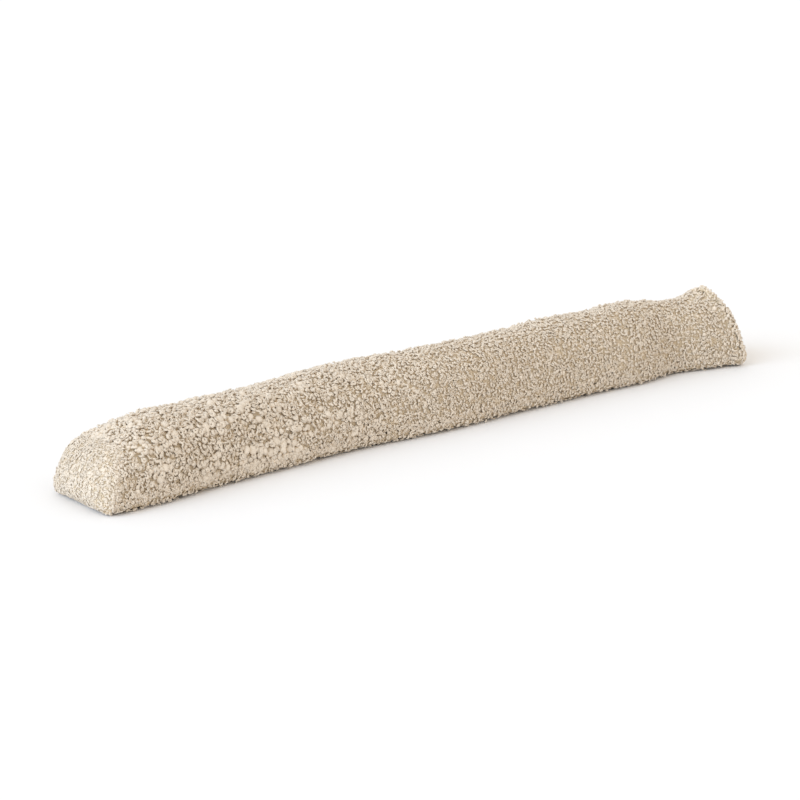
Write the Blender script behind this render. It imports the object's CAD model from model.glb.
"""Looks of a draught excluder: a long stuffed tube of pale curly boucle that lies on the floor."""

import math
from collections import namedtuple

import bpy
import numpy as np
from mathutils import Matrix, Vector, bvhtree, kdtree, noise


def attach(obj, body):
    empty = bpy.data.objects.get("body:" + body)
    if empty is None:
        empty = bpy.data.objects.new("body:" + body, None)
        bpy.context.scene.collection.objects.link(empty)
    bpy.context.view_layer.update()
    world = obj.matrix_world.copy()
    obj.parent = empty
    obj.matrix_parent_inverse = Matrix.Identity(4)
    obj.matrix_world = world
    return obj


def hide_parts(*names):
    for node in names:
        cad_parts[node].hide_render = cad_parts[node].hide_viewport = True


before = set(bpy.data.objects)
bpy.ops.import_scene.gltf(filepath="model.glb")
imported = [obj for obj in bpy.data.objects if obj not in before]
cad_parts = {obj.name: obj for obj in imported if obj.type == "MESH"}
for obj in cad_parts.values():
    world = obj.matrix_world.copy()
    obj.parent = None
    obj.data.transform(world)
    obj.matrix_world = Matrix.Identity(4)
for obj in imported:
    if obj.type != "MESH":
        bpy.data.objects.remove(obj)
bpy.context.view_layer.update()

MM = 0.001
bpy.ops.object.select_all(action="DESELECT")


# Cover: the long panel over the top and both long sides, with the fibre filling that it holds.
# It is boucle, a woven ground with a curly pile, drawn tight by the loose filling behind it.
# Modelled here is the ground alone. The pile stands on it, and its tips reach the solid's skin.

PILE = 2.3 * MM
DOUBLES = 0.01 * MM
MEET = 2 * MM  # how far the four solids are grown, to close their seams' gaps
SKIN_VOXEL = 2.5 * MM
BODY_VOXEL = 5 * MM
ROOM_TO_SWELL = 6 * MM
PRESSURE = 4
FRAMES = 20
SWELL_SHARE = 0.15
SWELL_CAP = 0.9 * MM
THREAD = 1.8 * MM
PATCH = 25 * MM
GROUND_LIGHT = "#DFCFB7"
GROUND_DARK = "#CFBB9C"


def pick(piece):
    """Selects one piece alone and makes it the active one."""
    bpy.ops.object.select_all(action="DESELECT")
    piece.select_set(True)
    bpy.context.view_layer.objects.active = piece


def apply_modifiers(piece):
    pick(piece)
    for modifier in list(piece.modifiers):
        bpy.ops.object.modifier_apply(modifier=modifier.name)


def copy_of_node(node, name):
    """A copy of a CAD node's mesh with its loose triangles merged."""
    piece = bpy.data.objects.new(name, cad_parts[node].data.copy())
    bpy.context.scene.collection.objects.link(piece)
    piece.data.materials.clear()
    pick(piece)
    bpy.ops.object.mode_set(mode="EDIT")
    bpy.ops.mesh.select_all(action="SELECT")
    bpy.ops.mesh.remove_doubles(threshold=DOUBLES)
    bpy.ops.object.mode_set(mode="OBJECT")
    return piece


def points_of(piece):
    found = np.empty(len(piece.data.vertices) * 3)
    piece.data.vertices.foreach_get("co", found)
    return found.reshape(-1, 3)


def normals_of(piece):
    found = np.empty(len(piece.data.vertices) * 3)
    piece.data.vertices.foreach_get("normal", found)
    return found.reshape(-1, 3)


def set_points(piece, points):
    piece.data.vertices.foreach_set("co", points.ravel())
    piece.data.update()


def remesh(piece, voxel):
    even = piece.modifiers.new("even", "REMESH")
    even.mode = "VOXEL"
    even.voxel_size = voxel


def grow(piece, distance):
    """Moves a piece's skin out along its normals, or in where the distance is negative."""
    grown = piece.modifiers.new("grown", "DISPLACE")
    grown.strength = distance
    grown.mid_level = 0.0


def linear(hex_colour):
    """An sRGB hex colour as the linear colour that a shader reads."""
    parts = [int(hex_colour[i:i + 2], 16) / 255 for i in (1, 3, 5)]
    return (*[p / 12.92 if p <= 0.04045 else ((p + 0.055) / 1.055) ** 2.4 for p in parts], 1.0)


def add_node(tree, kind, inputs=None, **settings):
    """Adds a node with its settings, and sets or links its inputs, which are given by name or number."""
    made = tree.nodes.new(kind)
    for name, value in settings.items():
        setattr(made, name, value)
    for name, value in (inputs or {}).items():
        if isinstance(value, bpy.types.NodeSocket):
            tree.links.new(value, made.inputs[name])
        else:
            made.inputs[name].default_value = value
    return made


def new_material(name):
    """An empty node material, with its tree and its shader."""
    material = bpy.data.materials.new(name)
    material.use_nodes = True
    tree = material.node_tree
    return material, tree, tree.nodes["Principled BSDF"]


# Woven ground of boucle: matt spun yarn, mostly hidden, a little deeper in colour than the pile.
ground, tree, shader = new_material("boucle_ground")
place = add_node(tree, "ShaderNodeTexCoord").outputs["Object"]
threads = add_node(tree, "ShaderNodeTexVoronoi", {"Vector": place, "Scale": 1 / THREAD})
patches = add_node(tree, "ShaderNodeTexNoise", {"Vector": place, "Scale": 1 / PATCH, "Detail": 3.0})
colour = add_node(tree, "ShaderNodeMix",
                  {0: patches.outputs["Fac"], 6: linear(GROUND_DARK), 7: linear(GROUND_LIGHT)},
                  data_type="RGBA")
weave = add_node(tree, "ShaderNodeBump",
                 {"Strength": 0.8, "Distance": 1.0 * MM, "Height": threads.outputs["Distance"]},
                 invert=True)
tree.links.new(colour.outputs[2], shader.inputs["Base Color"])
tree.links.new(weave.outputs["Normal"], shader.inputs["Normal"])
shader.inputs["Roughness"].default_value = 0.95
shader.inputs["Specular IOR Level"].default_value = 0.2

# The whole tube's skin, remeshed from all four solids, since the filling runs on under the panels.
# They are grown first, so that they meet across the gaps of their seams and close the grooves there.
panels_too = [copy_of_node(node, "panel") for node in ("base_panel", "end_panel_left", "end_panel_right")]
tube = copy_of_node("cover", "tube")
for panel_copy in panels_too:
    panel_copy.select_set(True)
bpy.ops.object.join()
grow(tube, MEET)
remesh(tube, SKIN_VOXEL)
apply_modifiers(tube)


def draw_tight(piece):
    """Rounds a piece off and draws it to the tube's skin, less the height of the pile."""
    round_off = piece.modifiers.new("round_off", "SUBSURF")
    round_off.levels = 1
    round_off.render_levels = 1
    drawn_tight = piece.modifiers.new("drawn_tight", "SHRINKWRAP")
    drawn_tight.target = tube
    drawn_tight.wrap_mode = "ABOVE_SURFACE"
    drawn_tight.offset = -MEET - PILE
    apply_modifiers(piece)


cover = bpy.data.objects.new("filled_cover", tube.data.copy())
bpy.context.scene.collection.objects.link(cover)
remesh(cover, BODY_VOXEL)
grow(cover, -ROOM_TO_SWELL)
apply_modifiers(cover)

# The filling presses unevenly. A share of the simulated swelling, above and below its mean, is kept.
swell = np.zeros(len(cover.data.vertices))
before = points_of(cover)
filling = cover.modifiers.new("filling", "CLOTH")
filling.settings.use_pressure = True
filling.settings.uniform_pressure_force = PRESSURE
filling.settings.effector_weights.gravity = 0
for step in range(1, FRAMES + 1):
    bpy.context.scene.frame_set(step)
apply_modifiers(cover)
moved = np.linalg.norm(points_of(cover) - before, axis=1)
swell = np.clip((moved - moved.mean()) * SWELL_SHARE, -SWELL_CAP, SWELL_CAP)
bpy.context.scene.frame_set(1)

# Rounding off adds points, so the swelling is carried over to them as an attribute of the mesh.
cover.data.attributes.new("swell", "FLOAT", "POINT").data.foreach_set("value", swell)
draw_tight(cover)
swell = np.empty(len(cover.data.vertices))
cover.data.attributes["swell"].data.foreach_get("value", swell)
set_points(cover, points_of(cover) + normals_of(cover) * swell[:, None])
cover.data.shade_smooth()
cover.data.materials.append(ground)
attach(cover, "root")
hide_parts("cover")


# Base panel: the flat strip of the same boucle on the floor, its edges turned up to the long seams.
# End panels: two arched pieces that close the tube, domed by the filling, sewn in all round.
# Each is a ground 2 mm thick here, set in from its solid's outer skin by the height of the pile.

GROUND_CLOTH = 2 * MM
BEHIND_CLOTH = GROUND_CLOTH + 0.2 * MM
SKIN_EDGE = 0.12
SEAM_STEP = 1.5 * MM
BESIDE = 3.4 * MM
BESIDE_BLEND = 0.3 * MM

# Each panel's outward side, how far its pile is flattened, the millimetres between two curls of it,
# and the sides and area of the cloth as it is cut, in metres
Panel = namedtuple("Panel", "node name outward flattened spacing flat area")
PANELS = (
    Panel("base_panel", "base_ground", Vector((0, 0, -1)), 0.85, 2.5, (0.112, 0.888), 0.0925),
    Panel("end_panel_left", "left_end_ground", Vector((-1, 0, 0)), 0.32, 2.0, (0.110, 0.075), 0.0077),
    Panel("end_panel_right", "right_end_ground", Vector((1, 0, 0)), 0.85, 2.3, (0.120, 0.085), 0.0072),
)


def keep_outer_skin(piece, outward):
    """Deletes the faces that look inwards, so that the outer skin of a panel is left."""
    pick(piece)
    bpy.ops.object.mode_set(mode="EDIT")
    bpy.ops.mesh.select_mode(type="FACE")
    bpy.ops.mesh.select_all(action="DESELECT")
    bpy.ops.object.mode_set(mode="OBJECT")
    for face in piece.data.polygons:
        face.select = face.normal.dot(outward) < SKIN_EDGE
    bpy.ops.object.mode_set(mode="EDIT")
    bpy.ops.mesh.delete(type="FACE")
    bpy.ops.object.mode_set(mode="OBJECT")


def edge_of(skin):
    """Places in even steps along a skin's own edge, where its seam lies."""
    uses = {}
    for face in skin.data.polygons:
        for pair in face.edge_keys:
            uses[pair] = uses.get(pair, 0) + 1
    rim = [pair for pair, count in uses.items() if count == 1]
    points = points_of(skin)
    places = []
    for one, other in rim:
        count = max(1, round(np.linalg.norm(points[one] - points[other]) / SEAM_STEP))
        for share in (np.arange(count) + 0.5) / count:
            places.append(points[one] * (1 - share) + points[other] * share)
    return np.array(places)


settled = points_of(cover)
from_panels = np.full(len(settled), 1.0)
skins = {}
seams = {}
for panel in PANELS:
    skin = copy_of_node(panel.node, panel.name)
    keep_outer_skin(skin, panel.outward)
    seams[panel.name] = edge_of(skin)
    finder = bvhtree.BVHTree.FromPolygons(points_of(skin).tolist(),
                                          [list(face.vertices) for face in skin.data.polygons])
    away = np.array([finder.find_nearest(Vector(found))[3] for found in settled])
    from_panels = np.minimum(from_panels, away)
    draw_tight(skin)
    skin.data.shade_smooth()
    skin.data.materials.append(ground)
    skins[panel.name] = skin

# The filled body draws in behind each panel by the thickness of the panel's cloth.
covered = np.clip((BESIDE - from_panels) / BESIDE_BLEND, 0, 1)
settled -= normals_of(cover) * covered[:, None] * BEHIND_CLOTH
settled[:, 2] = np.maximum(settled[:, 2], PILE + BEHIND_CLOTH)
set_points(cover, settled)


# Pile: short curls of spun yarn that stand all over the cloth. Some are rings and hairpins, some are
# worms, arches and knobs, and some are tangled into round nubs. They are modelled once each, and sit
# at random on the ground, with most nubs towards the left end, and pressed flat underneath.

YARN_RADIUS = 1.1 * MM
YARN_END = 0.6
ARC_STEP = 72  # degrees that one step of a spun arc turns
NUB = 5.4 * MM
NUB_SUNK = 0.5
NUB_LUMP = 2 * MM
NUB_UNEVEN = 0.5
PILE_TIP = "#E6D7C4"
PILE_ROOT = "#D2BB99"
FIBRE_TUFT = 1.6 * MM
SOFTNESS = 0.25
rng = np.random.default_rng(7)

# The arcs that each kind of curl is bent from: a radius in mm, the turn in degrees and the roll
# about the yarn before it
Arc = namedtuple("Arc", "radius turn roll")
CURLS = {
    "ring": (Arc(1.6, 210, 0), Arc(1.3, 150, 15)),
    "hairpin": (Arc(7.0, 22, 0), Arc(1.2, 180, 0), Arc(7.0, 22, 8)),
    "worm": (Arc(1.5, 120, 0), Arc(1.5, -150, 15), Arc(1.5, 100, -15)),
    "arch": (Arc(1.5, 200, 55), Arc(1.3, 60, 20)),
    "knob": (Arc(1.6, 200, 0), Arc(1.3, 200, 45), Arc(0.9, 160, 45)),
}


def model_curl(name, arcs):
    """A length of yarn, spun in edit mode from a four-sided section along its arcs."""
    at = Vector((0, 0, 0))
    ahead = Vector((1, 0, 0))
    up = Vector((0, 0, 1))
    bpy.ops.mesh.primitive_circle_add(vertices=4, radius=YARN_RADIUS, fill_type="NGON", location=at,
                                      rotation=(0, math.pi / 2, 0))
    curl = bpy.context.object
    curl.name = name
    bpy.ops.object.mode_set(mode="EDIT")
    for arc in arcs:
        up = Matrix.Rotation(math.radians(arc.roll), 3, ahead) @ up
        middle = at + up.cross(ahead) * arc.radius * MM * math.copysign(1, arc.turn)
        steps = max(1, round(abs(arc.turn) / ARC_STEP))
        bpy.ops.mesh.spin(steps=steps, angle=-math.radians(arc.turn), center=middle, axis=up)
        turned = Matrix.Rotation(math.radians(arc.turn), 3, up)
        at = middle + turned @ (at - middle)
        ahead = turned @ ahead
    bpy.ops.transform.resize(value=(YARN_END, YARN_END, YARN_END), center_override=at)
    bpy.ops.mesh.select_all(action="SELECT")
    bpy.ops.mesh.normals_make_consistent(inside=False)
    bpy.ops.object.mode_set(mode="OBJECT")
    bpy.ops.object.transform_apply(location=True, rotation=True, scale=True)
    return curl


def model_nub():
    """A lumpy round nub of tangled yarn, of 24 faces."""
    bpy.ops.mesh.primitive_cube_add(size=NUB, location=(0, 0, 0))
    bpy.ops.object.mode_set(mode="EDIT")
    bpy.ops.mesh.subdivide(number_cuts=1)
    bpy.ops.object.mode_set(mode="OBJECT")
    nub = bpy.context.object
    nub.name = "nub"
    points = points_of(nub)
    lumpy = np.array([[1 + NUB_UNEVEN * noise.noise(Vector(found) / NUB_LUMP)] for found in points])
    set_points(nub, points / np.linalg.norm(points, axis=1, keepdims=True) * NUB / 2 * lumpy)
    return nub


curls = []
for curl in [model_curl(name, arcs) for name, arcs in CURLS.items()] + [model_nub()]:
    points = points_of(curl)
    middle = (points.min(axis=0) + points.max(axis=0)) / 2
    middle[2] = points[:, 2].min() + (NUB_SUNK * NUB if curl.name == "nub" else 0)
    faces = np.array([list(face.vertices) for face in curl.data.polygons])
    curls.append((points - middle, faces))
    bpy.data.objects.remove(curl)

# Boucle yarn: matt, softly spun and fuzzy, so it has a faint sheen at its edges and no gloss.
# Curl tips catch the light and are paler, and the roots in the crevices are deeper and warmer.
# Loose fibres carry light round each curl, so its shading leans towards that of the cloth below.
pile, tree, shader = new_material("boucle_pile")
place = add_node(tree, "ShaderNodeTexCoord").outputs["Object"]
height = add_node(tree, "ShaderNodeAttribute", attribute_name="height").outputs["Fac"]
shade = add_node(tree, "ShaderNodeAttribute", attribute_name="shade").outputs["Fac"]
way_up = add_node(tree, "ShaderNodeAttribute", attribute_name="way_up").outputs["Vector"]
fibres = add_node(tree, "ShaderNodeTexNoise", {"Vector": place, "Scale": 1 / FIBRE_TUFT, "Detail": 3.0})
depth = add_node(tree, "ShaderNodeMapRange", {0: height, 1: 0.1, 2: 0.9, 3: 0.0, 4: 1.0})
body = add_node(tree, "ShaderNodeMix",
                {0: depth.outputs[0], 6: linear(PILE_ROOT), 7: linear(PILE_TIP)}, data_type="RGBA")
lighter = add_node(tree, "ShaderNodeMapRange", {0: shade, 1: 0.0, 2: 1.0, 3: 0.95, 4: 1.04})
colour = add_node(tree, "ShaderNodeVectorMath",
                  {0: body.outputs[2], 1: lighter.outputs[0]}, operation="MULTIPLY")
own_side = add_node(tree, "ShaderNodeNewGeometry").outputs["Normal"]
softened = add_node(tree, "ShaderNodeMix", {0: SOFTNESS, 4: own_side, 5: way_up}, data_type="VECTOR")
facing = add_node(tree, "ShaderNodeVectorMath", {0: softened.outputs[1]}, operation="NORMALIZE")
fuzz = add_node(tree, "ShaderNodeBump",
                {"Strength": 0.7, "Distance": 1.0 * MM, "Height": fibres.outputs["Fac"],
                 "Normal": facing.outputs["Vector"]})
tree.links.new(colour.outputs[0], shader.inputs["Base Color"])
tree.links.new(fuzz.outputs["Normal"], shader.inputs["Normal"])
shader.inputs["Roughness"].default_value = 0.9
shader.inputs["Specular IOR Level"].default_value = 0.25
shader.inputs["Sheen Weight"].default_value = 0.4
shader.inputs["Sheen Roughness"].default_value = 0.5

# Where the pile is fine, open, clumped or pressed by the tube's weight, and how big its curls are
LOWER_FROM = 0.9
LOWER_BLEND = 0.06
FINE_FROM = 0.02
OPENS_OVER = 0.25
LEFT_END_FROM = -0.39
LEFT_END_BLEND = 0.05
LEFT_END_FINE = 0.85
CLUMP = 15 * MM
CLUMP_FROM = 0.47
CLUMP_BLEND = 0.12
FINE_SIZE = 0.85
OPEN_BIGGER = 0.13
CLUMP_BIGGER = 0.65
PRESSED_BIGGER = 0.7

# The shares of ring, hairpin, worm, arch, knob and nub in each kind of pile
FINE_KINDS = np.array((0.34, 0.06, 0.10, 0.30, 0.16, 0.04))
OPEN_KINDS = np.array((0.26, 0.06, 0.12, 0.18, 0.28, 0.10))
CLUMP_KINDS = np.array((0.05, 0.0, 0.0, 0.05, 0.65, 0.25))


def lower_on(normals):
    """How far a surface looks down, from 0 on a side to 1 on the underside."""
    return np.clip((-normals[:, 2] - LOWER_FROM) / LOWER_BLEND, 0, 1)


def coarseness(points):
    """How open the pile is: 0 over the right half, 1 in the left third, and less at the left end."""
    towards_left = np.clip((FINE_FROM - points[:, 0]) / OPENS_OVER, 0, 1)
    at_end = np.clip((LEFT_END_FROM - points[:, 0]) / LEFT_END_BLEND, 0, 1)
    return towards_left * (1 - LEFT_END_FINE * at_end)


def lumps(points, width, seed):
    """Soft random heights from 0 to 1 over a surface, as wide as given."""
    apart = Vector((seed, 0, 0))
    return np.array([0.5 + 0.5 * noise.noise(Vector(found) / width + apart) for found in points])


def clumped(points):
    """Where the open pile has clumped into big knobs, from 0 to 1."""
    return np.clip((lumps(points, CLUMP, seed=8.3) - CLUMP_FROM) / CLUMP_BLEND, 0, 1) * coarseness(points)


def kinds_at(coarse, clump):
    """How likely each kind of curl is, for each place."""
    likely = FINE_KINDS + (OPEN_KINDS - FINE_KINDS) * coarse[:, None]
    return likely + (CLUMP_KINDS - likely) * clump[:, None]


def curl_sizes(coarse, clump):
    """Curls of about one size in the fine pile, and small ones and big knobs in the open pile."""
    return rng.uniform(0.88, 1.1, len(coarse)) * (FINE_SIZE + OPEN_BIGGER * coarse + CLUMP_BIGGER * clump)


# How the curls are strewn over the cloth
TRIES = 6
OPEN_SPARSER = 0.13
CLUMP_SPARSER = 0.85
PRESSED_SPARSER = 1.3
WIDE_SWELLING = 26 * MM
NARROW_SWELLING = 9 * MM
TUFTS = 0.15
TUFT_LIFT = 1.4
SEAM_REACH = 6 * MM
SEAM_SUNK = 0.2 * MM
SEAM_LIFT = 1.2
Strewn = namedtuple("Strewn", "places normals size likely squash lift")


def scatter(piece, spacing_at, bare):
    """Random places on the bare part of a piece, no closer than the spacing there, with normals."""
    mesh = piece.data
    mesh.calc_loop_triangles()
    corners = np.empty(len(mesh.loop_triangles) * 3, dtype=int)
    mesh.loop_triangles.foreach_get("vertices", corners)
    corners = corners.reshape(-1, 3)
    corners = corners[bare[corners].mean(axis=1) > 0.5]
    points = points_of(piece)[corners]
    looks = normals_of(piece)[corners]
    areas = np.linalg.norm(np.cross(points[:, 1] - points[:, 0], points[:, 2] - points[:, 0]), axis=1) / 2
    narrowest = spacing_at(points.mean(axis=1), looks.mean(axis=1)).min()
    tries = int(TRIES * areas.sum() / narrowest ** 2)
    chosen = rng.choice(len(areas), tries, p=areas / areas.sum())
    share = rng.dirichlet((1, 1, 1), tries)[:, :, None]
    places = (points[chosen] * share).sum(axis=1)
    normals = (looks[chosen] * share).sum(axis=1)
    normals /= np.linalg.norm(normals, axis=1, keepdims=True)
    spacing = spacing_at(places, normals)
    neighbours = kdtree.KDTree(tries)
    for number, found in enumerate(places):
        neighbours.insert(found, number)
    neighbours.balance()
    free = np.ones(tries, dtype=bool)
    for number in range(tries):
        if free[number]:
            for _, other, _ in neighbours.find_range(places[number], spacing[number]):
                if other > number:
                    free[other] = False
    return places[free], normals[free]


def pile_on(piece, spacing, opens, bare, squash_at):
    """Curls strewn over a piece's bare part. The spacing is that of the fine pile on a side, and
    opens is how far the pile opens into nubs towards the left end."""
    def room(found, looks):
        opened = 1 + (OPEN_SPARSER * coarseness(found) + CLUMP_SPARSER * clumped(found)) * opens
        return spacing * opened * (1 + PRESSED_SPARSER * lower_on(looks))

    places, normals = scatter(piece, room, bare)
    coarse = coarseness(places) * opens
    clump = clumped(places) * opens
    squash = squash_at(places, normals)
    wide = lumps(places, WIDE_SWELLING, seed=1.9) * (0.4 + 0.6 * coarse)
    swellings = wide + lumps(places, NARROW_SWELLING, seed=3.7) * 0.6
    tufts = TUFT_LIFT * (rng.random(len(places)) < TUFTS)
    lift = (swellings - 0.5 + rng.uniform(0, 1, len(places)) + tufts) * MM * squash
    size = curl_sizes(coarse, clump) * (1 + PRESSED_BIGGER * lower_on(normals))
    return Strewn(places, normals, size, kinds_at(coarse, clump), squash, lift)


def pile_along(seam, inwards, squash):
    """Curls that bridge a seam, from the panel's edge over the edge of the cover beside it."""
    count = len(seam)
    beside = seam + inwards * rng.uniform(-0.3, 1, (count, 1)) * SEAM_REACH
    on_skin = [tube.closest_point_on_mesh(Vector(found)) for found in beside]
    normals = np.array([normal for _, _, normal, _ in on_skin])
    places = np.array([found for _, found, _, _ in on_skin]) - normals * (MEET + PILE + SEAM_SUNK)
    coarse = coarseness(seam)
    clump = clumped(places)
    lift = rng.uniform(0, SEAM_LIFT, count) * MM * squash
    size = curl_sizes(coarse, clump)
    return Strewn(places, normals, size, kinds_at(coarse, clump), np.full(count, squash), lift)


# How each curl stands on the cloth
SUNK = 0.8 * MM
STANDS_OUT = PILE + 2.6 * MM
UNDERNEATH = PILE - 0.3 * MM
OFF_FLOOR = 0.2 * MM
TILT = 32
COMBED = 0.45
COMBED_SPREAD = 20
ALONG_TUBE = np.array((0.99, 0.11, 0.07))  # a little off the tube's own line, which an end faces


def lay_curls(strewn):
    """Curls on their places as points and faces, with each point's height and way up off the cloth
    and its curl's shade. In the fine pile many curls are combed round the tube."""
    places, normals, size, likely, squash, lift = strewn
    count = len(places)
    spin = rng.uniform(0, 2 * math.pi, count)
    combed = rng.random(count) < COMBED * (1 - coarseness(places))
    spin = np.where(combed, rng.normal(0, math.radians(COMBED_SPREAD), count), spin)
    pressed = lower_on(normals)
    tilt = np.radians(rng.uniform(-TILT, TILT, count)) * squash * (1 - pressed)
    stands_out = STANDS_OUT + (UNDERNEATH - STANDS_OUT) * pressed
    stretch = size[:, None] * rng.uniform(0.85, 1.2, (count, 3))
    stretch[:, 2] *= squash
    shade = rng.uniform(0, 1, count)
    pick_kind = rng.random(count)
    kinds = (pick_kind[:, None] > np.cumsum(likely, axis=1)).sum(axis=1)
    kinds = np.minimum(kinds, len(curls) - 1)
    around = np.cross(normals, ALONG_TUBE)
    around /= np.linalg.norm(around, axis=1, keepdims=True)
    across = np.cross(normals, around)
    along = around * np.cos(spin)[:, None] + across * np.sin(spin)[:, None]
    beside = np.cross(normals, along)
    up = normals * np.cos(tilt)[:, None] + beside * np.sin(tilt)[:, None]
    beside = np.cross(up, along)
    axes = np.stack((along, beside, up), axis=1)
    all_points, all_faces, all_heights, all_shades, all_ups = [], [], [], [], []
    first = 0
    for kind, (points, faces) in enumerate(curls):
        of_kind = np.flatnonzero(kinds == kind)
        local = points[None] * stretch[of_kind][:, None]
        sunk = SUNK * squash[of_kind]
        room = (stands_out[of_kind] + sunk - lift[of_kind]) / local[:, :, 2].max(axis=1)
        local[:, :, 2] = local[:, :, 2] * np.minimum(1, room)[:, None] - sunk[:, None]
        world = np.einsum("npa,nab->npb", local, axes[of_kind])
        world += (places[of_kind] + normals[of_kind] * lift[of_kind][:, None])[:, None]
        height = np.einsum("npb,nb->np", world - places[of_kind][:, None], normals[of_kind])
        height /= PILE * squash[of_kind][:, None]
        offsets = first + np.arange(len(of_kind)) * len(points)
        all_points.append(world.reshape(-1, 3))
        all_faces.append((faces[None] + offsets[:, None, None]).reshape(-1, 4))
        all_heights.append(np.clip(height, 0, 1).ravel())
        all_shades.append(np.repeat(shade[of_kind], len(points)))
        all_ups.append(np.repeat(normals[of_kind], len(points), axis=0))
        first += len(of_kind) * len(points)
    return [np.concatenate(part) for part in (all_points, all_faces, all_heights, all_shades, all_ups)]


def pile_piece(name, strewn):
    """One mesh of many curls, with a height, a shade and a way up at each point for the material."""
    points, faces, heights, shades, ups = lay_curls(strewn)
    points[:, 2] = np.maximum(points[:, 2], OFF_FLOOR)
    mesh = bpy.data.meshes.new(name)
    mesh.vertices.add(len(points))
    mesh.vertices.foreach_set("co", points.ravel())
    mesh.loops.add(faces.size)
    mesh.loops.foreach_set("vertex_index", faces.ravel())
    mesh.polygons.add(len(faces))
    mesh.polygons.foreach_set("loop_start", np.arange(len(faces)) * 4)
    for attribute, values in (("height", heights), ("shade", shades)):
        mesh.attributes.new(attribute, "FLOAT", "POINT").data.foreach_set("value", values)
    mesh.attributes.new("way_up", "FLOAT_VECTOR", "POINT").data.foreach_set("vector", ups.ravel())
    mesh.update(calc_edges=True)
    mesh.shade_smooth()
    piece = bpy.data.objects.new(name, mesh)
    bpy.context.scene.collection.objects.link(piece)
    mesh.materials.append(pile)
    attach(piece, "root")


# The cover's pile, in six pieces along the tube with about as many curls in each
COVER_PILES = 6
COVER_SPACING = 2.5 * MM
FLATTENED = 0.88
strewn = pile_on(cover, COVER_SPACING, 1, 1 - covered,
                 lambda places, normals: FLATTENED + (1 - FLATTENED) * coarseness(places))
edges = np.quantile(strewn.places[:, 0], np.linspace(0, 1, COVER_PILES + 1))
edges[-1] += MM
for number in range(COVER_PILES):
    use = (strewn.places[:, 0] >= edges[number]) & (strewn.places[:, 0] < edges[number + 1])
    pile_piece(f"cover_pile_{number + 1}", Strewn(*[part[use] for part in strewn]))

# Each panel's pile, which hardly opens and runs over its seam, and then the panel's own thickness
PANEL_OPENS = 0.2
PRESSED_FLATTER = 0.45
SEAM_FULLER = 1.1
for panel in PANELS:
    skin = skins[panel.name]
    strewn = pile_on(skin, panel.spacing * MM, PANEL_OPENS, np.ones(len(skin.data.vertices)),
                     lambda places, normals: panel.flattened * (1 - PRESSED_FLATTER * lower_on(normals)))
    bridging = pile_along(seams[panel.name], -np.array(panel.outward), SEAM_FULLER * panel.flattened)
    pile_piece(panel.name.replace("ground", "pile"),
               Strewn(*[np.concatenate(pair) for pair in zip(strewn, bridging)]))
    thick = skin.modifiers.new("thick", "SOLIDIFY")
    thick.thickness = GROUND_CLOTH
    apply_modifiers(skin)
    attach(skin, "root")
    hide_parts(panel.node)
bpy.data.objects.remove(tube)


# Studio: a plain pale floor, a big soft light from the left and an even pale surround.
# The camera looks slightly down at the left end and the front side, through a long lens.

FLOOR_SIDE = 40
FLOOR_COLOUR = "#F7F7F9"
KEY_FROM = Vector((-2.2, 0.1, 0.7))
KEY_SPREAD = math.radians(60)
KEY_POWER = 2.5
KEY_COLOUR = "#D2E8FF"
SURROUND = 0.95
SURROUND_COLOUR = "#FFFAF2"
CAMERA_AZIMUTH = math.radians(-45.42)
CAMERA_ELEVATION = math.radians(13.06)
CAMERA_DISTANCE = 3.448
CAMERA_LENS = 155.9
CAMERA_WIDTH = 36
AIM_RIGHT = -0.0168
AIM_UP = 0.0255

bpy.ops.mesh.primitive_plane_add(size=FLOOR_SIDE, location=(0, 0, 0))
floor = bpy.context.object
floor.name = "floor"
paper, tree, shader = new_material("pale_floor")
shader.inputs["Base Color"].default_value = linear(FLOOR_COLOUR)
shader.inputs["Roughness"].default_value = 0.8
floor.data.materials.append(paper)

bpy.ops.object.light_add(type="SUN", location=KEY_FROM)
key = bpy.context.object
key.data.angle = KEY_SPREAD
key.data.energy = KEY_POWER
key.data.color = linear(KEY_COLOUR)[:3]
key.rotation_euler = (-KEY_FROM).to_track_quat("-Z", "Y").to_euler()

world = bpy.context.scene.world or bpy.data.worlds.new("surround")
bpy.context.scene.world = world
world.use_nodes = True
world.node_tree.nodes["Background"].inputs["Color"].default_value = linear(SURROUND_COLOUR)
world.node_tree.nodes["Background"].inputs["Strength"].default_value = SURROUND
bpy.context.scene.view_settings.view_transform = "Standard"

right = Vector((math.cos(CAMERA_AZIMUTH), math.sin(CAMERA_AZIMUTH), 0))
back = Vector((math.sin(CAMERA_AZIMUTH) * math.cos(CAMERA_ELEVATION),
               -math.cos(CAMERA_AZIMUTH) * math.cos(CAMERA_ELEVATION),
               math.sin(CAMERA_ELEVATION)))
aim = right * AIM_RIGHT + back.cross(right) * AIM_UP
bpy.ops.object.camera_add(location=aim + back * CAMERA_DISTANCE)
camera = bpy.context.object
camera.data.lens = CAMERA_LENS
camera.data.sensor_width = CAMERA_WIDTH
camera.data.clip_end = 100
camera.rotation_euler = back.to_track_quat("Z", "Y").to_euler()
bpy.context.scene.camera = camera
